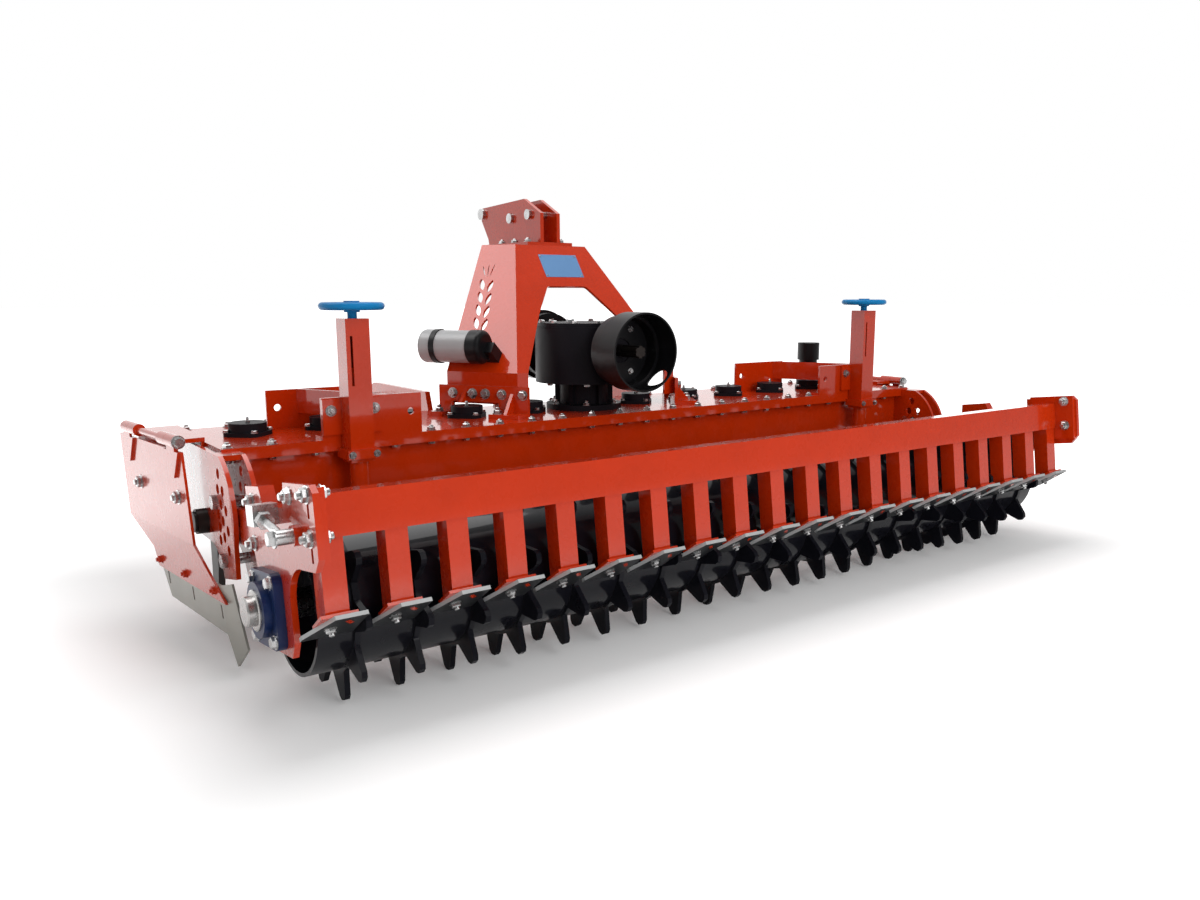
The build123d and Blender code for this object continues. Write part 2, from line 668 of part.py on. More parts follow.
# Gearbox over one rotor, with a through power take-off shaft and its guards
def gearbox():
    neck_bottom = LID_TOP + BASE_T
    box = rod_z(0, 0, LID_TOP, neck_bottom, BASE_R) + rod_z(0, 0, LID_TOP, GEARBOX_BOTTOM + 1, NECK_R)
    box += rod_z(0, 0, GEARBOX_BOTTOM, GEARBOX_TOP, GEARBOX_R)
    rib = block(NECK_R - 5, NECK_R + 12, -NECK_RIB_T / 2, NECK_RIB_T / 2, LID_TOP + 1, GEARBOX_BOTTOM + 1)
    box += [Rot(0, 0, 30 + 60 * i) * rib for i in range(6)]
    box += rod_y(0, -PTO_BOSS_REACH, PTO_BOSS_REACH, PTO_Z, PTO_BOSS_R)
    box -= rod_y(0, -PTO_BOSS_REACH - 1, PTO_BOSS_REACH + 1, PTO_Z, PTO_R + RUNNING_FIT)
    return Pos(GEARBOX_X, ROTOR_Y, 0) * box


def pto_guard():
    back = PTO_BOSS_REACH
    step = back + GUARD_STEP_DEPTH
    mouth = back + GUARD_DEPTH
    guard = rod_y(0, back, step, PTO_Z, GUARD_STEP_R) + rod_y(0, step - GUARD_WALL, mouth, PTO_Z, GUARD_R)
    guard -= rod_y(0, back + GUARD_WALL, mouth + 1, PTO_Z, GUARD_STEP_R - GUARD_WALL)
    guard -= rod_y(0, step, mouth + 1, PTO_Z, GUARD_R - GUARD_WALL)
    guard -= rod_y(0, back - 1, back + GUARD_WALL + 1, PTO_Z, PTO_R + 18)
    turn = math.radians(FINGER_TURN)
    reach = GUARD_R - GUARD_WALL
    finger = Pos(-reach * math.sin(turn), (step + mouth) / 2, PTO_Z - reach * math.cos(turn))
    finger *= Rot(0, FINGER_TURN, 0) * Cylinder(FINGER_R, 50)
    return guard - finger


def pto_shaft():
    shaft = rod_y(0, -PTO_REACH, PTO_REACH, PTO_Z, PTO_R)
    groove = block(PTO_R - 3, PTO_R + 2, PTO_REACH - 75, PTO_REACH + 1, -3, 3)
    for i in range(6):
        turned = Pos(0, 0, PTO_Z) * Rot(0, 60 * i, 0) * groove
        shaft -= [turned, mirror(turned, Plane.XZ)]
    return Pos(GEARBOX_X, ROTOR_Y, 0) * shaft


save(gearbox(), "gearbox")
gearbox_lid = rod_z(GEARBOX_X, ROTOR_Y, GEARBOX_TOP, GEARBOX_TOP + GEARBOX_LID_T, GEARBOX_R - 5)
save(gearbox_lid, "gearbox_lid")
guard_front = Pos(GEARBOX_X, ROTOR_Y, 0) * pto_guard()
guard_rear = Pos(GEARBOX_X, ROTOR_Y, 0) * Rot(0, 0, 180) * pto_guard()
save(group([guard_front, guard_rear]), "pto_guards")
save(pto_shaft(), "pto_shaft")


# Headstock tower: a leaning rear panel with an arch, two splayed wings and their bolted feet
RISE = math.hypot(TOWER_TOP_Y - TOWER_BOTTOM_Y, TOWER_TOP_Z - TOWER_BOTTOM_Z)
LEAN_Y = (TOWER_TOP_Y - TOWER_BOTTOM_Y) / RISE
LEAN_Z = (TOWER_TOP_Z - TOWER_BOTTOM_Z) / RISE
SPLAY = (math.sin(math.radians(WING_SPLAY)), math.cos(math.radians(WING_SPLAY)))
ARCH = [(248, -5), (248, 0), (138, 197), (70, 298)]
ARCH_FILLET = 16


def wing_point(top, out):
    """A point of the right wing: at the fold's top or bottom, and out along the splay."""
    half = TOWER_TOP_HALF if top else TOWER_BOTTOM_HALF
    y = TOWER_TOP_Y if top else TOWER_BOTTOM_Y
    z = TOWER_TOP_Z if top else TOWER_BOTTOM_Z
    return half + out * SPLAY[0], y + out * SPLAY[1], z


# Cut-out in the wings: an ear of grain with pairs of kernels under three awns
EAR_FOLD_SHARE = 0.5
EAR_OUT = 112
EAR_TURN = 10
KERNEL_LENGTH = 46
KERNEL_WIDTH = 17
KERNEL_PITCH = 47
KERNEL_PAIRS = 4
KERNEL_OFFSET = 14
KERNEL_LEAN = 16
AWN_LENGTH = 48
AWN_WIDTH = 4


def lens(length, width):
    """Pointed oval standing along Y."""
    half = length / 2
    right = ThreePointArc((0, -half), (width / 2, 0), (0, half))
    left = ThreePointArc((0, half), (-width / 2, 0), (0, -half))
    return make_face(right + left)


def grain_ear(corners, outward):
    top, bottom = Vector(*corners[0]), Vector(*corners[1])
    along = Vector(SPLAY[0], SPLAY[1], 0)
    centre = top + (bottom - top) * EAR_FOLD_SHARE + along * EAR_OUT
    plane = Plane(origin=centre - outward * 2 * TOWER_T, x_dir=along, z_dir=outward)
    kernel = lens(KERNEL_LENGTH, KERNEL_WIDTH)
    awn = lens(AWN_LENGTH, AWN_WIDTH)
    shapes = []
    for row in range(KERNEL_PAIRS):
        y = (row - (KERNEL_PAIRS - 1) / 2) * KERNEL_PITCH
        shapes.append(Pos(-KERNEL_OFFSET, y) * Rot(0, 0, KERNEL_LEAN) * kernel)
        shapes.append(Pos(KERNEL_OFFSET, y + KERNEL_PITCH / 4) * Rot(0, 0, -KERNEL_LEAN) * kernel)
    awn_y = KERNEL_PAIRS / 2 * KERNEL_PITCH + AWN_LENGTH / 2
    for turn in (-1, 0, 1):
        shapes.append(Pos(-turn * KERNEL_OFFSET, awn_y + 14) * Rot(0, 0, turn * KERNEL_LEAN) * awn)
    return [extrude(plane * Rot(0, 0, -EAR_TURN) * shape, 4 * TOWER_T) for shape in shapes]


def tower():
    panel_plane = Plane(origin=(0, TOWER_BOTTOM_Y, TOWER_BOTTOM_Z), x_dir=(1, 0, 0), z_dir=(0, -LEAN_Z, LEAN_Y))
    outline = [(TOWER_BOTTOM_HALF, 0), (TOWER_TOP_HALF, RISE), (-TOWER_TOP_HALF, RISE), (-TOWER_BOTTOM_HALF, 0)]
    arch = ARCH + [(-x, y) for x, y in reversed(ARCH)]
    opening = make_face(FilletPolyline(*arch, radius=[0, 0, 0, ARCH_FILLET, ARCH_FILLET, 0, 0, 0], close=True))
    face = make_face(Polyline(*outline, close=True)) - opening
    inward = (0, LEAN_Z, -LEAN_Y)
    shell = extrude(panel_plane * face, TOWER_T, dir=inward)
    corners = [wing_point(True, 0), wing_point(False, 0)]
    corners += [wing_point(False, WING_BOTTOM_WIDTH), wing_point(True, WING_TOP_WIDTH)]
    fold = Vector(*corners[1]) - Vector(*corners[0])
    normal = fold.cross(Vector(SPLAY[0], SPLAY[1], 0)).normalized()
    inside = normal if normal.X < 0 else -normal
    wing = sheet(corners, tuple(inside), TOWER_T) - grain_ear(corners, -inside)
    near, far = corners[1], corners[2]
    strip_corners = [near, far, (far[0], far[1], STRIP_BOTTOM_Z), (near[0], near[1], STRIP_BOTTOM_Z)]
    strip = sheet(strip_corners, (-SPLAY[1], SPLAY[0], 0), TOWER_T)
    leg = block(ARCH[0][0], TOWER_BOTTOM_HALF, TOWER_BOTTOM_Y, TOWER_BOTTOM_Y + TOWER_T, STRIP_BOTTOM_Z, TOWER_BOTTOM_Z)
    side = wing + strip + leg
    top_half = corners[3]
    top = [(TOWER_TOP_HALF, TOWER_TOP_Y), (top_half[0], top_half[1]), (-top_half[0], top_half[1]), (-TOWER_TOP_HALF, TOWER_TOP_Y)]
    shell += [side, mirror(side, Plane.YZ), plate_z(top, TOWER_TOP_Z - 10, TOWER_TOP_Z)]
    return Pos(GEARBOX_X, 0, 0) * shell


FOOT_SPANS = [
    # start and end along the wing's foot, of each stretch that reaches the lid
    (-38, 56),
    (206, 252),
]


GUSSETS = [
    # place along the foot, reach outwards, bottom and top
    (8, 60, LID_TOP + 1, FOOT_TOP_Z - 8),
    (160, 40, CAP_CLEAR_Z, FOOT_TOP_Z - 8),
]


def tower_foot():
    start = wing_point(False, 0)

    def across(along, out):
        x = start[0] + along * SPLAY[0] + out * SPLAY[1]
        y = start[1] + along * SPLAY[1] - out * SPLAY[0]
        return x, y

    def strip(a, b, out, z0, z1):
        return plate_z([across(a, 0), across(b, 0), across(b, out), across(a, out)], z0, z1)

    first, last = FOOT_SPANS[0][0], FOOT_SPANS[-1][1]
    foot = strip(first, last, FOOT_BRACKET_T, CAP_CLEAR_Z, FOOT_TOP_Z)
    for a, b in FOOT_SPANS:
        foot += strip(a, b, FOOT_BRACKET_T, LID_TOP, FOOT_TOP_Z)
        foot += strip(a, b, 70, LID_TOP, LID_TOP + FOOT_PLATE_T)
    for along, out, z0, z1 in GUSSETS:
        corners = [(*across(along, 1), z0), (*across(along, out), z0), (*across(along, 1), z1)]
        foot += sheet(corners, (*SPLAY, 0), FOOT_BRACKET_T)
    return foot


save(tower(), "tower")
foot = tower_foot()
save(group([Pos(GEARBOX_X, 0, 0) * foot, Pos(GEARBOX_X, 0, 0) * mirror(foot, Plane.YZ)]), "tower_feet")


# Three-point hitch: top-link bracket, lower-link plates and their pins
def top_link_bracket():
    floor = TOWER_TOP_Z + 10
    rear = TOWER_TOP_Y + 2
    front = TOP_LINK_Y - 40
    base = block(-BASE_PLATE_HALF, BASE_PLATE_HALF, rear + 1, front - 70, TOWER_TOP_Z, floor)
    outline = [(rear, floor - 1), (rear, TOP_LINK_Z - 17), (rear + 96, TOP_LINK_Z + 32), (TOP_LINK_Y + 4, TOP_LINK_Z + 20)]
    outline += [(TOP_LINK_Y + 24, TOP_LINK_Z), (front + 7, (floor + TOP_LINK_Z) / 2 - 30), (front, floor - 1)]
    cheek = plate_x(outline, CHEEK_GAP / 2, CHEEK_GAP / 2 + TOP_CHEEK_T)
    bracket = base + cheek + mirror(cheek, Plane.YZ)
    reach = CHEEK_GAP / 2 + TOP_CHEEK_T + 1
    for y, z, radius in top_pin_places():
        bracket -= rod_x(-reach, reach, y, z, radius + RUNNING_FIT)
    return Pos(GEARBOX_X, 0, 0) * bracket


def top_pin_places():
    """Y, Z and radius of the top-link pin and of the two spacer bolts behind it."""
    rear = TOWER_TOP_Y
    bolts = [(rear + 66, TOP_LINK_Z - 18, SPACER_BOLT_R), (rear + 178, TOP_LINK_Z - 24, SPACER_BOLT_R)]
    return [(TOP_LINK_Y, TOP_LINK_Z, TOP_LINK_PIN_R)] + bolts


def link_plate():
    inner = LINK_SPREAD / 2 - LINK_T
    outer = LINK_SPREAD / 2
    seat = WALL_FRONT_Y
    under = LID_BOTTOM - FLANGE_T
    outline = [(seat, 300), (seat, under - 1), (LID_FRONT_Y + 14, under - 1), (LID_FRONT_Y + 40, 520)]
    outline += [(LINK_PIN_Y, LINK_PIN_Z + LINK_EYE_R), (LINK_PIN_Y, LINK_PIN_Z - LINK_EYE_R), (LID_FRONT_Y + 120, 330)]
    plate = plate_x(outline, inner, outer) + rod_x(inner, outer, LINK_PIN_Y, LINK_PIN_Z, LINK_EYE_R)
    plate += block(inner - 45, outer + 45, seat, seat + 12, 300, under - 1)
    return plate - rod_x(inner - 1, outer + 1, LINK_PIN_Y, LINK_PIN_Z, LINK_PIN_R + RUNNING_FIT)


def hitch_pins():
    reach = CHEEK_GAP / 2 + TOP_CHEEK_T
    pins = []
    for y, z, radius in top_pin_places():
        shank = rod_x(-reach, reach, y, z, radius)
        heads = [rod_x(-reach - 10, -reach, y, z, radius + 6), rod_x(reach, reach + 10, y, z, radius + 6)]
        pins.append(shank + heads)
    inner = LINK_SPREAD / 2 - LINK_T
    stub = rod_x(inner, LINK_SPREAD / 2 + LINK_PIN_OUT, LINK_PIN_Y, LINK_PIN_Z, LINK_PIN_R)
    stub += rod_x(inner - 14, inner, LINK_PIN_Y, LINK_PIN_Z, LINK_PIN_R + 8)
    pins += [stub, mirror(stub, Plane.YZ)]
    return group([Pos(GEARBOX_X, 0, 0) * pin for pin in pins])


save(top_link_bracket(), "top_link_bracket")
save(hitch_pins(), "hitch_pins")
link = link_plate()
save(group([Pos(GEARBOX_X, 0, 0) * link, Pos(GEARBOX_X, 0, 0) * mirror(link, Plane.YZ)]), "lower_links")


# Side deflectors on a hinge that flares out towards the front, with a bolted wear plate below.
# They are drawn about the hinge line, standing along Y, and then turned into the flare.
HINGE_SPANS = [(-25, -25 + KNUCKLE_LENGTH), (293, 293 + KNUCKLE_LENGTH)]


def flare(shape):
    """Turn a piece drawn about the right hinge line into its place."""
    return Pos(HINGE_X, 0, 0) * Rot(0, 0, -FLARE) * shape


def hinge_bracket():
    near = HINGE_SPANS[0][1] + 1
    far = HINGE_SPANS[1][0] - 1
    edge = 4 - KNUCKLE_R
    shelf = flare(block(-HINGE_X, edge, near, far, HINGE_Z - 12, HINGE_Z - 2))
    shelf -= block(-HINGE_X, LID_HALF_X, LID_REAR_Y - LID_DEPTH, LID_FRONT_Y + LID_DEPTH, 0, JACK_TOP)
    shelf += flare(block(edge - 6, edge, near, far, HINGE_Z - HINGE_LIP, HINGE_Z - 2))
    leg = block(LID_HALF_X, LID_HALF_X + 8, near + 12, far - 6, LID_BOTTOM, HINGE_Z - 2)
    rod = rod_y(0, HINGE_SPANS[0][0] - 4, HINGE_SPANS[1][1] + 4, HINGE_Z, HINGE_ROD_R)
    knuckles = [rod_y(0, y, y + KNUCKLE_LENGTH, HINGE_Z, KNUCKLE_R) for y in (near, far - KNUCKLE_LENGTH)]
    return shelf + [leg, flare(rod)] + [flare(knuckle) for knuckle in knuckles]


def panel_x(z):
    """Outer face of the deflector at a height: upright above the crease, leaning in below it."""
    fall = max(0.0, PANEL_CREASE_Z - z) / (PANEL_CREASE_Z - PANEL_BOTTOM_Z)
    return PANEL_T / 2 - PANEL_INSET * fall


UPPER_PANEL = [(-50, PANEL_TOP), (393, PANEL_TOP), (364, PANEL_CREASE_Z), (-85, PANEL_CREASE_Z)]
LOWER_PANEL = [(364, PANEL_CREASE_Z), (210, 196), (192, PANEL_BOTTOM_Z), (-235, PANEL_BOTTOM_Z), (-85, PANEL_CREASE_Z)]


def deflector():
    inward = (-1, 0, 0)
    panel = sheet([(panel_x(z), y, z) for y, z in UPPER_PANEL], inward, PANEL_T)
    panel += sheet([(panel_x(z), y, z) for y, z in LOWER_PANEL], inward, PANEL_T)
    outer = PANEL_T / 2
    tip = PANEL_TOP - STRAP_LENGTH
    for y0, y1 in HINGE_SPANS:
        middle = (y0 + y1) / 2
        strap = [(y0, HINGE_Z), (y1, HINGE_Z), (y1, PANEL_TOP), (y1 + STRAP_FLARE, PANEL_TOP), (middle + 12, tip)]
        strap += [(middle - 12, tip), (y0 - STRAP_FLARE, PANEL_TOP), (y0, PANEL_TOP)]
        panel += plate_x(strap, outer, outer + 6)
        panel += rod_y(0, y0, y1, HINGE_Z, KNUCKLE_R)
        panel -= rod_y(0, y0 - 40, y1 + 40, HINGE_Z, HINGE_ROD_R + RUNNING_FIT)
    return flare(panel)


WEAR_TOP_Z = 185
WEAR_BEND_Y = -201
WEAR_BEND = 0.08
WEAR_FLAT = [(WEAR_BEND_Y, WEAR_TOP_Z), (205, WEAR_TOP_Z), (153, 78), (WEAR_BEND_Y, 72)]
WEAR_BENT = [(WEAR_BEND_Y, WEAR_TOP_Z), (WEAR_BEND_Y, 72), (-228, 3), (-289, 57), (-258, 200)]
WEAR_SLOTS = [(-188, 106), (-14, 108), (148, 112)]
WEAR_SLOT_W = 8
WEAR_SLOT_H = 32


def wear_plate():
    def point(y, z):
        inset = WEAR_BEND * max(0.0, WEAR_BEND_Y - y)
        return panel_x(z) - PANEL_T - inset, y, z

    inward = (-1, 0, 0)
    flat = sheet([point(*p) for p in WEAR_FLAT], inward, WEAR_T)
    for y, z in WEAR_SLOTS:
        flat -= block(-60, 20, y - WEAR_SLOT_W / 2, y + WEAR_SLOT_W / 2, z, z + WEAR_SLOT_H)
    return flare(flat + sheet([point(*p) for p in WEAR_BENT], inward, WEAR_T))


save(pair(hinge_bracket()), "hinge_brackets")
for name, turn in (("right", False), ("left", True)):
    panel = deflector()
    wear = wear_plate()
    save(mirror(panel, Plane.YZ) if turn else panel, "deflector_" + name)
    save(mirror(wear, Plane.YZ) if turn else wear, "wear_plate_" + name)


# Oil filler on the lid, and the document tube strapped to the left wing
def oil_filler():
    neck = rod_z(FILLER_X, FILLER_Y, LID_TOP, LID_TOP + 96, 34)
    return neck + rod_z(FILLER_X, FILLER_Y, LID_TOP + 96, LID_TOP + 160, 41)


DOC_FOLD_SHARE = 0.89
DOC_START = 117
DOC_STANDOFF = 6


def document_tube_plane():
    """Plane across the tube at its rear end, on the left wing's outer face."""
    top = Vector(*wing_point(True, 0))
    bottom = Vector(*wing_point(False, 0))
    fold = bottom - top
    along = Vector(SPLAY[0], SPLAY[1], 0)
    normal = fold.cross(along).normalized()
    outward = normal if normal.X > 0 else -normal
    centre = top + fold * DOC_FOLD_SHARE + along * DOC_START + outward * (DOC_R + DOC_STANDOFF)
    return Plane(origin=centre, x_dir=outward, z_dir=along)


def document_tube():
    body = extrude(Circle(DOC_R - 2), DOC_LENGTH + DOC_LID)
    lid = Pos(0, 0, DOC_LENGTH) * extrude(Circle(DOC_R), DOC_LID)
    lid = chamfer(lid.edges().sort_by(Axis.Z)[-1], 5)
    return document_tube_plane() * (body + lid)


def document_tube_caps():
    plane = document_tube_plane()
    cap = fillet(extrude(Circle(DOC_R), -DOC_CAP).edges().sort_by(Axis.Z)[0], 14)
    ring = Pos(0, 0, DOC_LENGTH - DOC_RING) * (extrude(Circle(DOC_R + 1), DOC_RING) - extrude(Circle(DOC_R - 2), DOC_RING))
    reach = DOC_R + DOC_STANDOFF
    saddle = Pos(0, 0, 20) * extrude(Pos(8 - reach, 0) * Rectangle(16, 40), 30) - extrude(Circle(DOC_R - 2), 80)
    lug = Pos(-reach / 2, 0, -DOC_CAP) * Box(reach, DOC_LUG_WIDTH, DOC_LUG_LENGTH)
    return group([plane * (cap + lug), plane * ring, plane * saddle])


save(oil_filler(), "oil_filler")
flip = Plane.YZ
save(Pos(GEARBOX_X, 0, 0) * mirror(document_tube(), flip), "document_tube")
save(Pos(GEARBOX_X, 0, 0) * mirror(document_tube_caps(), flip), "document_tube_caps")
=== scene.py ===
import bmesh
import bpy
import json
import math
from mathutils import Matrix, Vector


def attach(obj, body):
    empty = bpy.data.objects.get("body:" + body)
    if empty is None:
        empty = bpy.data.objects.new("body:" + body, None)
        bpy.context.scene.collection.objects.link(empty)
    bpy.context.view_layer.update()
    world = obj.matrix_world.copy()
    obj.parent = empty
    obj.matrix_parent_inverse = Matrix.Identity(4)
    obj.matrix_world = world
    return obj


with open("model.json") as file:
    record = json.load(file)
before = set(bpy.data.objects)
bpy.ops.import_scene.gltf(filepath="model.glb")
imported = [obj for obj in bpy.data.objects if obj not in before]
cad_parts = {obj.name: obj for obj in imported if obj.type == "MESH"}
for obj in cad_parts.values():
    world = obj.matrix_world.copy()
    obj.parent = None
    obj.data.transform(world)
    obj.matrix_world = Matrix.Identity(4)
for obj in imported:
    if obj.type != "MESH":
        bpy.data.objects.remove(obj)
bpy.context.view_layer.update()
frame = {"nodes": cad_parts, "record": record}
MM = 0.001

# Places that repeat the part's own sizes, in millimetres
ROTOR_XS = [-1100 + 200 * i for i in range(12)]
ROTOR_Y = 96
TINE_BOLT_OUT, TINE_BOLT_Z = 83, 193

LID_TOP, TROUGH_FLANGE_BOTTOM = 468, 440
LID_REAR, LID_FRONT = -106, 298
LID_BOLT_XS = [-1200 + 100 * i for i in range(25)]
LID_BOLT_INSET = 15
CAP_TOP, CAP_FLANGE_TOP, CAP_CIRCLE = 500, 478, 52
NIPPLE = [(6, 0), (6, 5), (3.5, 6), (3.5, 9), (4.5, 10), (2.5, 13)]

GEARBOX_X = -100
GEARBOX_TOP, GEARBOX_BOTTOM, GEARBOX_BASE_TOP = 726, 549, 484
GEARBOX_TOP_CIRCLE, GEARBOX_UNDER_CIRCLE, GEARBOX_BASE_CIRCLE = 129, 122, 100
GEARBOX_PLUG = (-60, -20)
PTO_Z, PTO_FLANGE_OUT, PTO_CIRCLE = 649, 191, 70

SPLAY = (math.sin(math.radians(31)), math.cos(math.radians(31)))
FOOT_HALF, FOOT_Y = 284, 10
FOOT_PLATE_OUT, FOOT_BOLT_Z = 10, 530
FOOT_FLANGE_OUT, FOOT_FLANGE_TOP = 48, 480
FOOT_BOLTS, FOOT_FLANGE_BOLTS = (-22, 45, 98, 140, 205), (38, 230)
TOWER_TOP_Y, TOWER_TOP_Z = 272, 959
TOWER_LEAN = (262, 369)
BRACKET_BASE_TOP, BRACKET_BASE_OUT = 969, 60
BRACKET_BASE_YS = (310, 390, 470)
NAME_PLATE = (138, 84, 0.8)
NAME_PLATE_ALONG, NAME_PLATE_DOWN = 8, 78
RIVET, RIVET_ACROSS, RIVET_DOWN = [(3.2, 0), (2.4, 1.4)], 63, 36

JACK_X, JACK_Y = 912, -137
JACK_STRETCHES = [(-1000, -720), (725, 1010)]
JACK_FACE_Y, JACK_BOLT_X, JACK_BOLT_Z = -114, 54, 538
JACK_GUIDE_OUT, JACK_GUIDE_X, JACK_GUIDE_Z = 40, 30, 437
LID_BRACKET_FLANGES = [(-1005, 192), (-830, 192), (-760, -80), (625, 192), (800, 192), (770, -80)]
LID_BRACKET_TOP = 476
LINK_X, LINK_SEAT_Y = 404.5, 280
LINK_BOLT_X, LINK_BOLT_ZS = 30, (328, 408)

ROLLER = (-488, 208)
DRUM_R = 146
TILT = math.radians(7)
PLATE_OUT = 1236
PLATE_BOLTS = [(70, 205), (80, 120), (-167, 226), (-264, 232), (-264, 155)]
BEAM_FLANGE_X, BEAM_BOLT_Y, BEAM_BOLT_ZS = 1212, -258, (232, 155)
BEARING_FLANGE_T, BEARING_BOLT = 18, 57
BEARING_END_X, BEARING_RACE = 1270, [(41, 0), (41, 3), (38, 5)]
ADJUSTER_STUD, ADJUSTER_HEAD = (-205, 158), (-72, 190)
ADJUSTER_OUT, ADJUSTER_NUT_OUT, ADJUSTER_NUT_SHARE = 44, 30, 0.68
ADJUSTER_SLEEVE, ADJUSTER_NUT = [(19, 0), (19, 14)], [(17, 0), (17, 15)]
POST_XS = [(i - 9.5) * 125 for i in range(20)]
BLADE_SLOPE = math.radians(27)
BLADE_START = (-232, 12)
BLADE_UNDER = 14
BLADE_NUT_X, BLADE_NUT_ALONG = -8, 44
BLADE_SLOT, BLADE_SLOT_X, BLADE_SLOT_ALONG = (9, 24, 0.4), 22, 22
BLADE_SLOT_SLANT = math.radians(35)

FLARE = math.radians(6)
HINGE_X, HINGE_Z = 1291, 482
HINGE_REAR = -29
PANEL_FACE, PANEL_FOLD_Z = 3, 255
PANEL_IN_SLOPE = 8 / 105
PANEL_BOLTS = [(250, 354), (-15, 355)]
WEAR_BOLT_YS, WEAR_BOLT_Z = (-177, 0, 170), 171


# Materials
DUST_COLOR, DUST_TOP = (0.30, 0.24, 0.18, 1), 0.45
SAWN_EDGE = (0.42, 0.43, 0.43, 1)


def noise(tree, coords, scale, detail):
    node = tree.nodes.new("ShaderNodeTexNoise")
    node.inputs["Scale"].default_value = scale
    node.inputs["Detail"].default_value = detail
    tree.links.new(coords.outputs["Object"], node.inputs["Vector"])
    return node.outputs["Fac"]


def map_range(tree, source, before, after, smooth=False):
    """Map a value from one (low, high) range to another."""
    node = tree.nodes.new("ShaderNodeMapRange")
    if smooth:
        node.interpolation_type = "SMOOTHSTEP"
    for socket, level in zip(("From Min", "From Max", "To Min", "To Max"), (*before, *after)):
        node.inputs[socket].default_value = level
    tree.links.new(source, node.inputs["Value"])
    return node.outputs["Result"]


def vector_chain(tree, source, steps):
    """Pass a vector through named operations, each with its constant second vector or None."""
    for operation, amount in steps:
        node = tree.nodes.new("ShaderNodeVectorMath")
        node.operation = operation
        tree.links.new(source, node.inputs[0])
        if amount:
            node.inputs[1].default_value = amount
        source = node.outputs["Value" if operation in ("LENGTH", "DOT_PRODUCT") else "Vector"]
    return source


def shader(name, color, rough, metallic=0.0, coat=0.0, spread=0.08, scale=9.0,
           bump=0.04, bump_scale=240.0, dust=0.0, shine=0.5):
    """Principled surface with slow colour drift, uneven gloss, fine bump and dust that gathers low down."""
    mat = bpy.data.materials.new(name)
    mat.use_nodes = True
    tree = mat.node_tree
    bsdf = tree.nodes["Principled BSDF"]
    bsdf.inputs["Metallic"].default_value = metallic
    bsdf.inputs["Coat Weight"].default_value = coat
    bsdf.inputs["Coat Roughness"].default_value = 0.06
    bsdf.inputs["Specular IOR Level"].default_value = shine
    coords = tree.nodes.new("ShaderNodeTexCoord")
    ramp = tree.nodes.new("ShaderNodeValToRGB")
    for element, place, share in zip(ramp.color_ramp.elements, (0.3, 0.7), (1 - spread, 1 + spread)):
        element.position = place
        element.color = (*[min(1.0, c * share) for c in color], 1)
    tree.links.new(noise(tree, coords, scale, 5), ramp.inputs["Fac"])
    tint = ramp.outputs["Color"]
    if dust:
        tint = add_dust(tree, coords, tint, dust)
    tree.links.new(tint, bsdf.inputs["Base Color"])
    uneven = (max(0.02, rough - 0.06), rough + 0.10)
    gloss = map_range(tree, noise(tree, coords, scale * 4, 6), (0, 1), uneven)
    tree.links.new(gloss, bsdf.inputs["Roughness"])
    relief = tree.nodes.new("ShaderNodeBump")
    relief.inputs["Strength"].default_value = bump
    relief.inputs["Distance"].default_value = 0.001
    tree.links.new(noise(tree, coords, bump_scale, 3), relief.inputs["Height"])
    tree.links.new(relief.outputs["Normal"], bsdf.inputs["Normal"])
    return mat


def mix_color(tree, factor, first, second):
    """Blend a colour socket towards a constant colour."""
    mix = tree.nodes.new("ShaderNodeMix")
    mix.data_type = "RGBA"
    tree.links.new(factor, mix.inputs["Factor"])
    tree.links.new(first, mix.inputs["A"])
    mix.inputs["B"].default_value = second
    return mix.outputs["Result"]


def add_dust(tree, coords, tint, amount):
    """Mix a pale film into a colour, stronger towards the ground."""
    split = tree.nodes.new("ShaderNodeSeparateXYZ")
    tree.links.new(coords.outputs["Object"], split.inputs["Vector"])
    lowness = map_range(tree, split.outputs["Z"], (DUST_TOP, 0), (0, amount))
    share = tree.nodes.new("ShaderNodeMath")
    share.operation = "MULTIPLY"
    tree.links.new(lowness, share.inputs[0])
    tree.links.new(noise(tree, coords, 22, 8), share.inputs[1])
    return mix_color(tree, share.outputs["Value"], tint, DUST_COLOR)


def coords_of(tree):
    return [node for node in tree.nodes if node.type == "TEX_COORD"][0]


def blade_shader():
    """Dark rolled steel whose sawn edges, the faces square to the plate, are bright."""
    mat = shader("blade_steel", (0.018, 0.019, 0.021), 0.34, metallic=0.1, spread=0.25, bump=0.12, shine=0.12)
    tree = mat.node_tree
    bsdf = tree.nodes["Principled BSDF"]
    source = bsdf.inputs["Base Color"].links[0].from_socket
    lean = TILT + BLADE_SLOPE
    upright = (0, math.sin(lean), math.cos(lean))
    facing = vector_chain(tree, coords_of(tree).outputs["Normal"], [("DOT_PRODUCT", upright)])
    flat = tree.nodes.new("ShaderNodeMath")
    flat.operation = "ABSOLUTE"
    tree.links.new(facing, flat.inputs[0])
    edge = map_range(tree, flat.outputs["Value"], (0.75, 0.55), (0, 1))
    tint = mix_color(tree, edge, source, SAWN_EDGE)
    tree.links.new(tint, bsdf.inputs["Base Color"])
    return mat


def roller_shader():
    """Black paint, polished on the drum and duller out along the teeth."""
    mat = shader("roller_paint", (0.006, 0.006, 0.009), 0.28, spread=0.2, bump=0.03, shine=0.07)
    tree = mat.node_tree
    axis = (0, ROLLER[0] * MM, ROLLER[1] * MM)
    steps = [("SUBTRACT", axis), ("MULTIPLY", (0, 1, 1)), ("LENGTH", None)]
    radius = vector_chain(tree, coords_of(tree).outputs["Object"], steps)
    polish = map_range(tree, radius, (DRUM_R * MM, (DRUM_R + 12) * MM), (0.5, 0.05))
    tree.links.new(polish, tree.nodes["Principled BSDF"].inputs["Coat Weight"])
    return mat


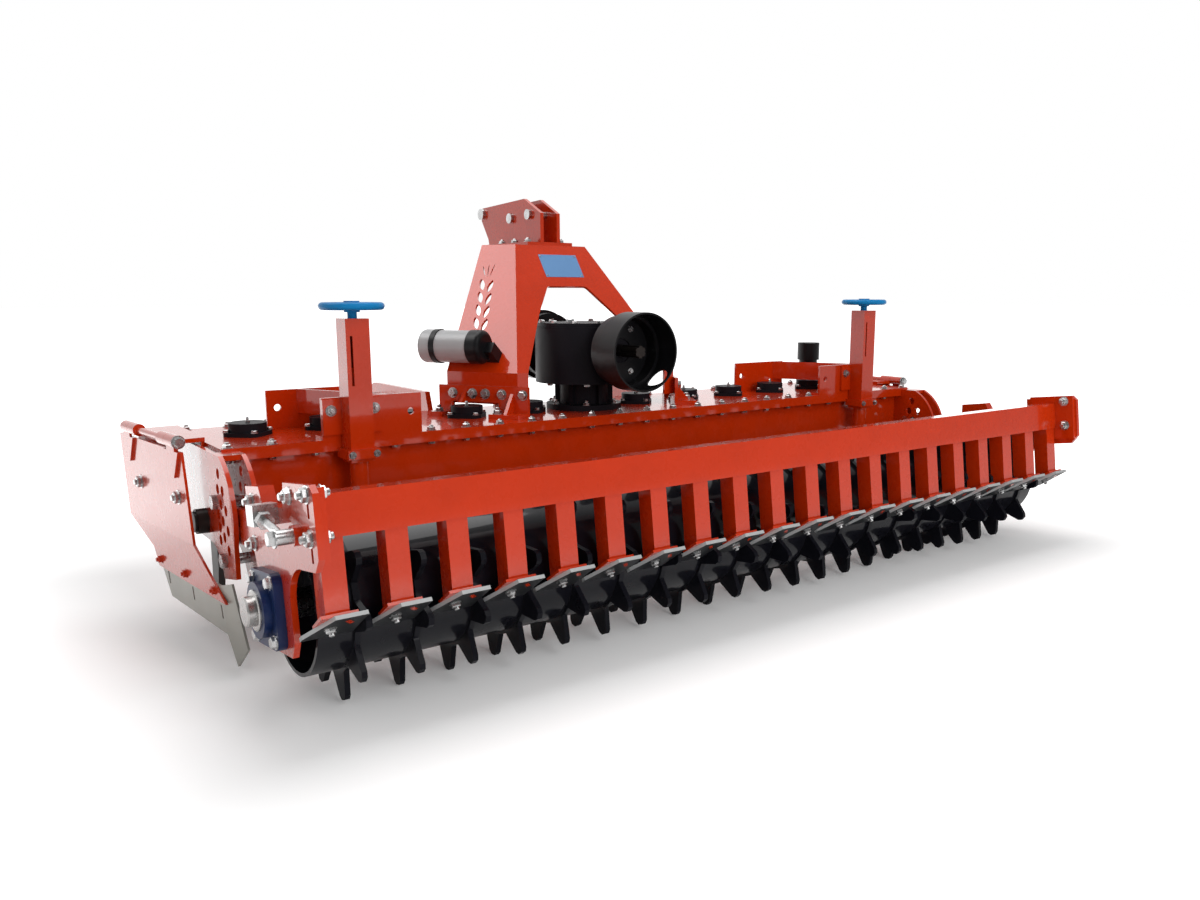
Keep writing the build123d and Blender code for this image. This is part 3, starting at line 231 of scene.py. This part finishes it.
FINISHES = {
    "red_paint": dict(color=(0.54, 0.029, 0.001), rough=0.26, coat=0.9, spread=0.05, bump=0.02,
                      dust=0.03, shine=0.14),
    "black_paint": dict(color=(0.010, 0.009, 0.012), rough=0.40, spread=0.2, bump=0.06, shine=0.10),
    "navy_paint": dict(color=(0.006, 0.018, 0.075), rough=0.34, coat=0.10, spread=0.15, shine=0.25),
    "black_plastic": dict(color=(0.006, 0.006, 0.007), rough=0.34, spread=0.15, bump=0.08,
                          bump_scale=600, shine=0.22),
    "grey_plastic": dict(color=(0.38, 0.38, 0.385), rough=0.30, spread=0.05, bump=0.05),
    "blue_plastic": dict(color=(0.004, 0.19, 0.46), rough=0.42, spread=0.10, bump=0.05, shine=0.18),
    "zinc": dict(color=(0.56, 0.56, 0.56), rough=0.26, metallic=1.0, spread=0.16, scale=40, bump=0.05),
    "wear_steel": dict(color=(0.36, 0.355, 0.32), rough=0.36, metallic=0.25, spread=0.08, bump=0.06,
                       dust=0.2),
    "cast_iron": dict(color=(0.02, 0.02, 0.021), rough=0.55, metallic=0.2, spread=0.25, bump=0.3,
                      bump_scale=400),
    "tine_steel": dict(color=(0.06, 0.058, 0.055), rough=0.42, metallic=0.7, spread=0.25, bump=0.15),
    "axle_steel": dict(color=(0.45, 0.44, 0.43), rough=0.26, metallic=1.0, spread=0.10, scale=30, bump=0.05),
    "dark_steel": dict(color=(0.025, 0.020, 0.018), rough=0.36, metallic=0.4, spread=0.2, shine=0.3),
    "label": dict(color=(0.13, 0.27, 0.50), rough=0.35, spread=0.03, bump=0.01, shine=0.2),
}
MATERIALS = {name: shader(name, **finish) for name, finish in FINISHES.items()}
MATERIALS["blade_steel"] = blade_shader()


def dress(node, material):
    materials = frame["nodes"][node].data.materials
    materials.clear()
    materials.append(material)


for part in frame["record"]["subparts"]:
    dress(part["node"], MATERIALS[part["material_slot"]])
dress("roller_drum", roller_shader())


# Small pieces are gathered in one mesh for each body and finish
batches = {}


def batch(body, slot):
    if (body, slot) not in batches:
        batches[body, slot] = bmesh.new()
    return batches[body, slot]


def placed(point, direction):
    """Place that stands +Z up along a direction at a point."""
    turn = Vector(direction).normalized().to_track_quat("Z", "Y").to_matrix().to_4x4()
    return Matrix.Translation(Vector(point) * MM) @ turn


def lathe(bm, place, profile, sides, turn=0.0):
    """Sweep a (radius, height) profile about the placed +Z axis and close its ends."""
    rings = []
    for radius, height in profile:
        ring = []
        for i in range(sides):
            angle = turn + 2 * math.pi * i / sides
            point = Vector((radius * math.cos(angle), radius * math.sin(angle), height)) * MM
            ring.append(bm.verts.new(place @ point))
        rings.append(ring)
    for low, high in zip(rings, rings[1:]):
        for i in range(sides):
            j = (i + 1) % sides
            bm.faces.new((low[i], low[j], high[j], high[i]))
    bm.faces.new(list(reversed(rings[0])))
    bm.faces.new(rings[-1])


def bolt(body, point, direction, size=10, slot="zinc", turn=0.3, stud=0):
    """Hex head with a chamfered crown on a washer; stud is the length of thread beyond a nut."""
    bm = batch(body, slot)
    place = placed(point, direction)
    across = size * 0.92
    tall = size * 0.66
    washer = size * 0.16
    lathe(bm, place, [(size * 1.12, 0), (size * 1.12, washer)], 20)
    top = washer + tall
    lathe(bm, place, [(across, washer), (across, washer + tall * 0.82), (across * 0.84, top)], 6, turn)
    if stud:
        lathe(bm, place, [(size * 0.5, top), (size * 0.5, top + stud - 1.5), (size * 0.4, top + stud)], 14)


def slab(body, slot, place, width, depth, tall):
    """Thin plate on a place, centred on it."""
    bm = batch(body, slot)
    scale = Matrix.Diagonal((width * MM, depth * MM, tall * MM, 1))
    lifted = place @ Matrix.Translation((0, 0, tall / 2 * MM))
    bmesh.ops.create_cube(bm, size=1, matrix=lifted @ scale)


def frame_spot(y, z):
    """World (Y, Z) of a point given in the upright coordinates of the roller frame."""
    c, s = math.cos(TILT), math.sin(TILT)
    return ROLLER[0] + y * c + z * s, ROLLER[1] - y * s + z * c


def flare_way(side, x, y):
    """World direction of a deflector direction given about the hinge line."""
    c, s = math.cos(FLARE), math.sin(FLARE)
    return side * (x * c + y * s), -x * s + y * c, 0


def flare_spot(side, x, y, z):
    """World point of a deflector point given about the hinge line."""
    c, s = math.cos(FLARE), math.sin(FLARE)
    return side * (HINGE_X + x * c + y * s), -x * s + y * c, z


def gearbox_spot(radius, angle, z):
    """Point on a circle about the gearbox's upright axis."""
    return GEARBOX_X + radius * math.cos(angle), ROTOR_Y + radius * math.sin(angle), z


def foot_spot(side, along, out, z):
    """Point along a splayed foot of the tower and out from its face."""
    x = FOOT_HALF + along * SPLAY[0] + out * SPLAY[1]
    y = FOOT_Y + along * SPLAY[1] - out * SPLAY[0]
    return GEARBOX_X + side * x, y, z


def blade_spot(along):
    """World (Y, Z) of a point on the underside of the scraper blades."""
    c, s = math.cos(BLADE_SLOPE), math.sin(BLADE_SLOPE)
    y = BLADE_START[0] + along * c - BLADE_UNDER * s
    z = BLADE_START[1] - along * s - BLADE_UNDER * c
    return frame_spot(y, z)


def lid_bolts():
    for x in LID_BOLT_XS:
        rear, front = LID_REAR + LID_BOLT_INSET, LID_FRONT - LID_BOLT_INSET
        if not any(a <= x <= b for a, b in JACK_STRETCHES):
            bolt("frame", (x, rear, LID_TOP), (0, 0, 1), 11, turn=x, stud=4)
        bolt("frame", (x, front, LID_TOP), (0, 0, 1), 11, turn=x, stud=4)
        bolt("frame", (x, rear, TROUGH_FLANGE_BOTTOM), (0, 0, -1), 9, turn=x)


def cap_bolts():
    """Four bolts and a grease nipple on each bearing cap."""
    for x in ROTOR_XS:
        if x == GEARBOX_X:
            continue
        for k in range(4):
            angle = math.radians(90 * k)
            dx, dy = CAP_CIRCLE * math.cos(angle), CAP_CIRCLE * math.sin(angle)
            bolt("frame", (x + dx, ROTOR_Y + dy, CAP_FLANGE_TOP), (0, 0, 1), 8, turn=k)
        lathe(batch("frame", "zinc"), placed((x, ROTOR_Y, CAP_TOP), (0, 0, 1)), NIPPLE, 10)


def gearbox_bolts():
    for k in range(12):
        spot = gearbox_spot(GEARBOX_TOP_CIRCLE, math.radians(15 + 30 * k), GEARBOX_TOP)
        bolt("frame", spot, (0, 0, 1), 9, turn=k)
    for k in range(6):
        angle = math.radians(60 * k)
        c, s = math.cos(angle), math.sin(angle)
        base = gearbox_spot(GEARBOX_BASE_CIRCLE, angle, GEARBOX_BASE_TOP)
        bolt("frame", base, (0, 0, 1), 10, turn=k, stud=7)
        under = gearbox_spot(GEARBOX_UNDER_CIRCLE, angle, GEARBOX_BOTTOM)
        bolt("frame", under, (0, 0, -1), 10, turn=k)
        for way in (-1, 1):
            spot = (GEARBOX_X + PTO_CIRCLE * c, ROTOR_Y + way * PTO_FLANGE_OUT, PTO_Z + PTO_CIRCLE * s)
            bolt("frame", spot, (0, way, 0), 8, turn=k)
    plug = (GEARBOX_X + GEARBOX_PLUG[0], ROTOR_Y + GEARBOX_PLUG[1], GEARBOX_TOP)
    bolt("frame", plug, (0, 0, 1), 13)


def tower_bolts():
    for side in (-1, 1):
        for along in FOOT_BOLTS:
            spot = foot_spot(side, along, FOOT_PLATE_OUT, FOOT_BOLT_Z)
            bolt("frame", spot, (side * SPLAY[1], -SPLAY[0], 0), 13.5, turn=along)
        for along in FOOT_FLANGE_BOLTS:
            spot = foot_spot(side, along, FOOT_FLANGE_OUT, FOOT_FLANGE_TOP)
            bolt("frame", spot, (0, 0, 1), 13, stud=8)
        for y in BRACKET_BASE_YS:
            spot = (GEARBOX_X + side * BRACKET_BASE_OUT, y, BRACKET_BASE_TOP)
            bolt("frame", spot, (0, 0, 1), 12, turn=y, stud=4)


def maker_plate():
    """Blank plate with four rivets on the tower's rear panel."""
    fall, rise = Vector(TOWER_LEAN).normalized()
    outward = Vector((0, -rise, fall))
    down = Vector((0, -fall, -rise))
    across = Vector((1, 0, 0))
    centre = Vector((GEARBOX_X + NAME_PLATE_ALONG, TOWER_TOP_Y, TOWER_TOP_Z)) + down * NAME_PLATE_DOWN
    turn = Matrix((across, -down, outward)).transposed().to_4x4()
    place = Matrix.Translation(centre * MM) @ turn
    slab("frame", "label", place, *NAME_PLATE)
    for u in (-RIVET_ACROSS, RIVET_ACROSS):
        for v in (-RIVET_DOWN, RIVET_DOWN):
            spot = centre + across * u + down * v + outward * NAME_PLATE[2]
            lathe(batch("frame", "zinc"), placed(spot, outward), RIVET, 12)


def jack_bolts():
    for side in (-1, 1):
        for dx in (-JACK_BOLT_X, JACK_BOLT_X):
            spot = (side * JACK_X + dx, JACK_FACE_Y, JACK_BOLT_Z)
            bolt("frame", spot, (0, -1, 0), 12, turn=dx, stud=5)
        for dx in (-JACK_GUIDE_X, JACK_GUIDE_X):
            spot = (side * JACK_X + dx, JACK_Y - JACK_GUIDE_OUT, JACK_GUIDE_Z)
            bolt("frame", spot, (0, -1, 0), 8, turn=dx)


def bracket_bolts():
    for x, y in LID_BRACKET_FLANGES:
        bolt("frame", (x, y, LID_BRACKET_TOP), (0, 0, 1), 12, turn=x, stud=9)


def link_bolts():
    for side in (-1, 1):
        for across in (-LINK_BOLT_X, LINK_BOLT_X):
            for z in LINK_BOLT_ZS:
                spot = (GEARBOX_X + side * (LINK_X + across), LINK_SEAT_Y, z)
                bolt("frame", spot, (0, 1, 0), 13, turn=z)


def roller_frame_bolts():
    for side in (-1, 1):
        for y, z in PLATE_BOLTS:
            bolt("roller_frame", (side * PLATE_OUT, *frame_spot(y, z)), (side, 0, 0), 15, turn=y, stud=7)
        for z in BEAM_BOLT_ZS:
            spot = (side * BEAM_FLANGE_X, *frame_spot(BEAM_BOLT_Y, z))
            bolt("roller_frame", spot, (-side, 0, 0), 14, turn=z, stud=7)
        for y in (-BEARING_BOLT, BEARING_BOLT):
            for z in (-BEARING_BOLT, BEARING_BOLT):
                spot = (side * (PLATE_OUT + BEARING_FLANGE_T), *frame_spot(y, z))
                bolt("roller_frame", spot, (side, 0, 0), 13, turn=z)
        race = placed((side * BEARING_END_X, *ROLLER), (side, 0, 0))
        lathe(batch("roller", "axle_steel"), race, BEARING_RACE, 40)


def adjuster_details():
    """Nut and sleeve on each adjuster's stud, and a lock nut on its screw."""
    low, high = frame_spot(*ADJUSTER_STUD), frame_spot(*ADJUSTER_HEAD)
    way = (0, high[0] - low[0], high[1] - low[1])
    spot = [low[i] + (high[i] - low[i]) * ADJUSTER_NUT_SHARE for i in (0, 1)]
    for side in (-1, 1):
        bolt("roller_frame", (side * (PLATE_OUT + ADJUSTER_OUT), *low), (side, 0, 0), 16)
        sleeve = placed((side * PLATE_OUT, *low), (side, 0, 0))
        lathe(batch("roller_frame", "red_paint"), sleeve, ADJUSTER_SLEEVE, 24)
        nut = placed((side * (PLATE_OUT + ADJUSTER_NUT_OUT), *spot), way)
        lathe(batch("roller_frame", "zinc"), nut, ADJUSTER_NUT, 6)


def blade_bolts():
    """A nut under each scraper blade, and the slanted slot that shows the painted foot."""
    across = Vector((1, 0, 0))
    down = Vector((0, -math.sin(BLADE_SLOPE + TILT), -math.cos(BLADE_SLOPE + TILT)))
    turn = Matrix((across, down.cross(across), down)).transposed().to_4x4()
    slant = Matrix.Rotation(BLADE_SLOT_SLANT, 4, "Z")
    for x in POST_XS:
        nut = (x + BLADE_NUT_X, *blade_spot(BLADE_NUT_ALONG))
        bolt("roller_frame", nut, down, 11, turn=x, stud=6)
        spot = Vector((x + BLADE_SLOT_X, *blade_spot(BLADE_SLOT_ALONG))) * MM
        slab("roller_frame", "red_paint", Matrix.Translation(spot) @ turn @ slant, *BLADE_SLOT)


def deflector_bolts():
    inset = PANEL_FACE - PANEL_IN_SLOPE * (PANEL_FOLD_Z - WEAR_BOLT_Z)
    for side, body in ((-1, "deflector_left"), (1, "deflector_right")):
        out = flare_way(side, 1, 0)
        for y, z in PANEL_BOLTS:
            bolt(body, flare_spot(side, PANEL_FACE, y, z), out, 15, turn=y, stud=5)
        for y in WEAR_BOLT_YS:
            bolt(body, flare_spot(side, inset, y, WEAR_BOLT_Z), out, 10, "red_paint", turn=y, stud=4)
        bolt("frame", flare_spot(side, 0, HINGE_REAR, HINGE_Z), flare_way(side, 0, -1), 14)


def tine_bolts():
    for i, x in enumerate(ROTOR_XS):
        body = "rotor_%02d" % (i + 1)
        way = Vector((1, 0, 0)) if i % 2 == 0 else Vector((0, 1, 0))
        for sign in (-1, 1):
            spot = Vector((x, ROTOR_Y, TINE_BOLT_Z)) + way * (TINE_BOLT_OUT * sign)
            bolt(body, spot, way * sign, 11, "dark_steel", turn=i)


lid_bolts()
cap_bolts()
gearbox_bolts()
tower_bolts()
maker_plate()
jack_bolts()
bracket_bolts()
link_bolts()
roller_frame_bolts()
adjuster_details()
blade_bolts()
deflector_bolts()
tine_bolts()

for (body, slot), bm in batches.items():
    mesh = bpy.data.meshes.new("fittings_" + body + "_" + slot)
    bmesh.ops.recalc_face_normals(bm, faces=bm.faces)
    bm.to_mesh(mesh)
    bm.free()
    obj = bpy.data.objects.new(mesh.name, mesh)
    bpy.context.scene.collection.objects.link(obj)
    mesh.materials.append(MATERIALS[slot])
    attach(obj, body)


# Stage, light and camera
CAMERA_PLACE = (-1.7764, -2.3574, 0.8098)
CAMERA_YAW, CAMERA_PITCH = math.radians(37.0), math.radians(9.94)
CAMERA_LENS, CAMERA_SHIFT = 29.13, (-0.0239, 0.0118)

# Reach of the painted shade about the machine's footprint, where the floor's glow fades out, in metres
FOOTPRINT = (1.30, 0.72, 0)
PAINTED_SHADE_FADE = (-0.3, 1.1)

# Levels that mirrors see behind the machine and ahead of it
FLOOR_MIRRORED, SKY_MIRRORED = (0.3, 1.5), (0.25, 1.1)
MIRROR_RISE = (-0.3, 0.5)
SKY_AMBIENT = 0.50


def mirrored_level(tree, vector, levels):
    """Level that rises along Y, from the rear of the machine to its front."""
    split = tree.nodes.new("ShaderNodeSeparateXYZ")
    tree.links.new(vector, split.inputs["Vector"])
    return map_range(tree, split.outputs["Y"], MIRROR_RISE, levels)


def seen_or_mirrored(tree, mirrored):
    """One for rays from the camera, the given level for rays from mirrors, else nought."""
    path = tree.nodes.new("ShaderNodeLightPath")
    seen = tree.nodes.new("ShaderNodeMath")
    seen.operation = "MULTIPLY_ADD"
    tree.links.new(path.outputs["Is Glossy Ray"], seen.inputs[0])
    tree.links.new(mirrored, seen.inputs[1])
    tree.links.new(path.outputs["Is Camera Ray"], seen.inputs[2])
    return seen.outputs["Value"]


def white_floor():
    """Floor that keeps the rendered shadow and fades its glow out near the machine, a painted shade round the
    footprint, rising to plain white further out.
    """
    bm = bmesh.new()
    bmesh.ops.create_grid(bm, x_segments=1, y_segments=1, size=60)
    mesh = bpy.data.meshes.new("floor")
    bm.to_mesh(mesh)
    bm.free()
    floor = bpy.data.objects.new("floor", mesh)
    bpy.context.scene.collection.objects.link(floor)
    mat = bpy.data.materials.new("floor_white")
    mat.use_nodes = True
    tree = mat.node_tree
    bsdf = tree.nodes["Principled BSDF"]
    bsdf.inputs["Base Color"].default_value = (0.90, 0.90, 0.90, 1)
    bsdf.inputs["Roughness"].default_value = 0.9
    bsdf.inputs["Specular IOR Level"].default_value = 0.0
    coords = tree.nodes.new("ShaderNodeTexCoord")
    steps = [("ABSOLUTE", None), ("SUBTRACT", FOOTPRINT), ("MAXIMUM", (0, 0, 0)), ("LENGTH", None)]
    reach = vector_chain(tree, coords.outputs["Object"], steps)
    # Painted shade: without glow near the footprint the floor turns grey round the machine, beyond its
    # rendered shadow
    lift = map_range(tree, reach, PAINTED_SHADE_FADE, (0, 1), smooth=True)
    mirrored = mirrored_level(tree, coords.outputs["Object"], FLOOR_MIRRORED)
    share = tree.nodes.new("ShaderNodeMath")
    share.operation = "MULTIPLY"
    tree.links.new(lift, share.inputs[0])
    tree.links.new(seen_or_mirrored(tree, mirrored), share.inputs[1])
    bsdf.inputs["Emission Color"].default_value = (1, 1, 1, 1)
    tree.links.new(share.outputs["Value"], bsdf.inputs["Emission Strength"])
    mesh.materials.append(mat)


def soft_light(name, place, target, size, power, diffuse=True, glossy=True):
    data = bpy.data.lights.new(name, "AREA")
    data.shape = "DISK"
    data.size = size
    data.energy = power
    lamp = bpy.data.objects.new(name, data)
    lamp.location = place
    lamp.rotation_euler = (Vector(target) - Vector(place)).to_track_quat("-Z", "Y").to_euler()
    lamp.visible_diffuse = diffuse
    lamp.visible_glossy = glossy
    bpy.context.scene.collection.objects.link(lamp)


def studio_world():
    """White backdrop, with its own levels as ambient light and in mirrors."""
    world = bpy.data.worlds.new("studio")
    bpy.context.scene.world = world
    world.use_nodes = True
    tree = world.node_tree
    sky = tree.nodes["Background"]
    sky.inputs["Color"].default_value = (1, 1, 1, 1)
    path = tree.nodes.new("ShaderNodeLightPath")
    coords = tree.nodes.new("ShaderNodeTexCoord")
    level = map_range(tree, path.outputs["Is Camera Ray"], (0, 1), (SKY_AMBIENT, 1))
    pick = tree.nodes.new("ShaderNodeMix")
    tree.links.new(path.outputs["Is Glossy Ray"], pick.inputs["Factor"])
    tree.links.new(level, pick.inputs["A"])
    tree.links.new(mirrored_level(tree, coords.outputs["Generated"], SKY_MIRRORED), pick.inputs["B"])
    tree.links.new(pick.outputs["Result"], sky.inputs["Strength"])


def photo_camera():
    c, s = math.cos(CAMERA_PITCH), math.sin(CAMERA_PITCH)
    look = Vector((math.sin(CAMERA_YAW) * c, math.cos(CAMERA_YAW) * c, -s))
    data = bpy.data.cameras.new("photo_camera")
    data.sensor_width = 36
    data.lens = CAMERA_LENS
    data.shift_x, data.shift_y = CAMERA_SHIFT
    camera = bpy.data.objects.new("photo_camera", data)
    camera.location = CAMERA_PLACE
    camera.rotation_euler = look.to_track_quat("-Z", "Y").to_euler()
    bpy.context.scene.collection.objects.link(camera)
    bpy.context.scene.camera = camera


white_floor()
studio_world()
soft_light("key", (0.6, -4.4, 4.0), (0, -0.2, 0.4), 2.4, 42)
soft_light("fill", (-0.6, -5.0, 1.6), (0, -0.1, 0.45), 2.0, 72, glossy=False)
soft_light("card", (-2.36, 1.32, 4.05), (-0.36, 0.2, 0.75), 2.4, 58, diffuse=False)
soft_light("top", (0.2, 0.8, 4.8), (0, 0, 0.4), 3.5, 85)
photo_camera()
bpy.context.scene.view_settings.view_transform = "Standard"
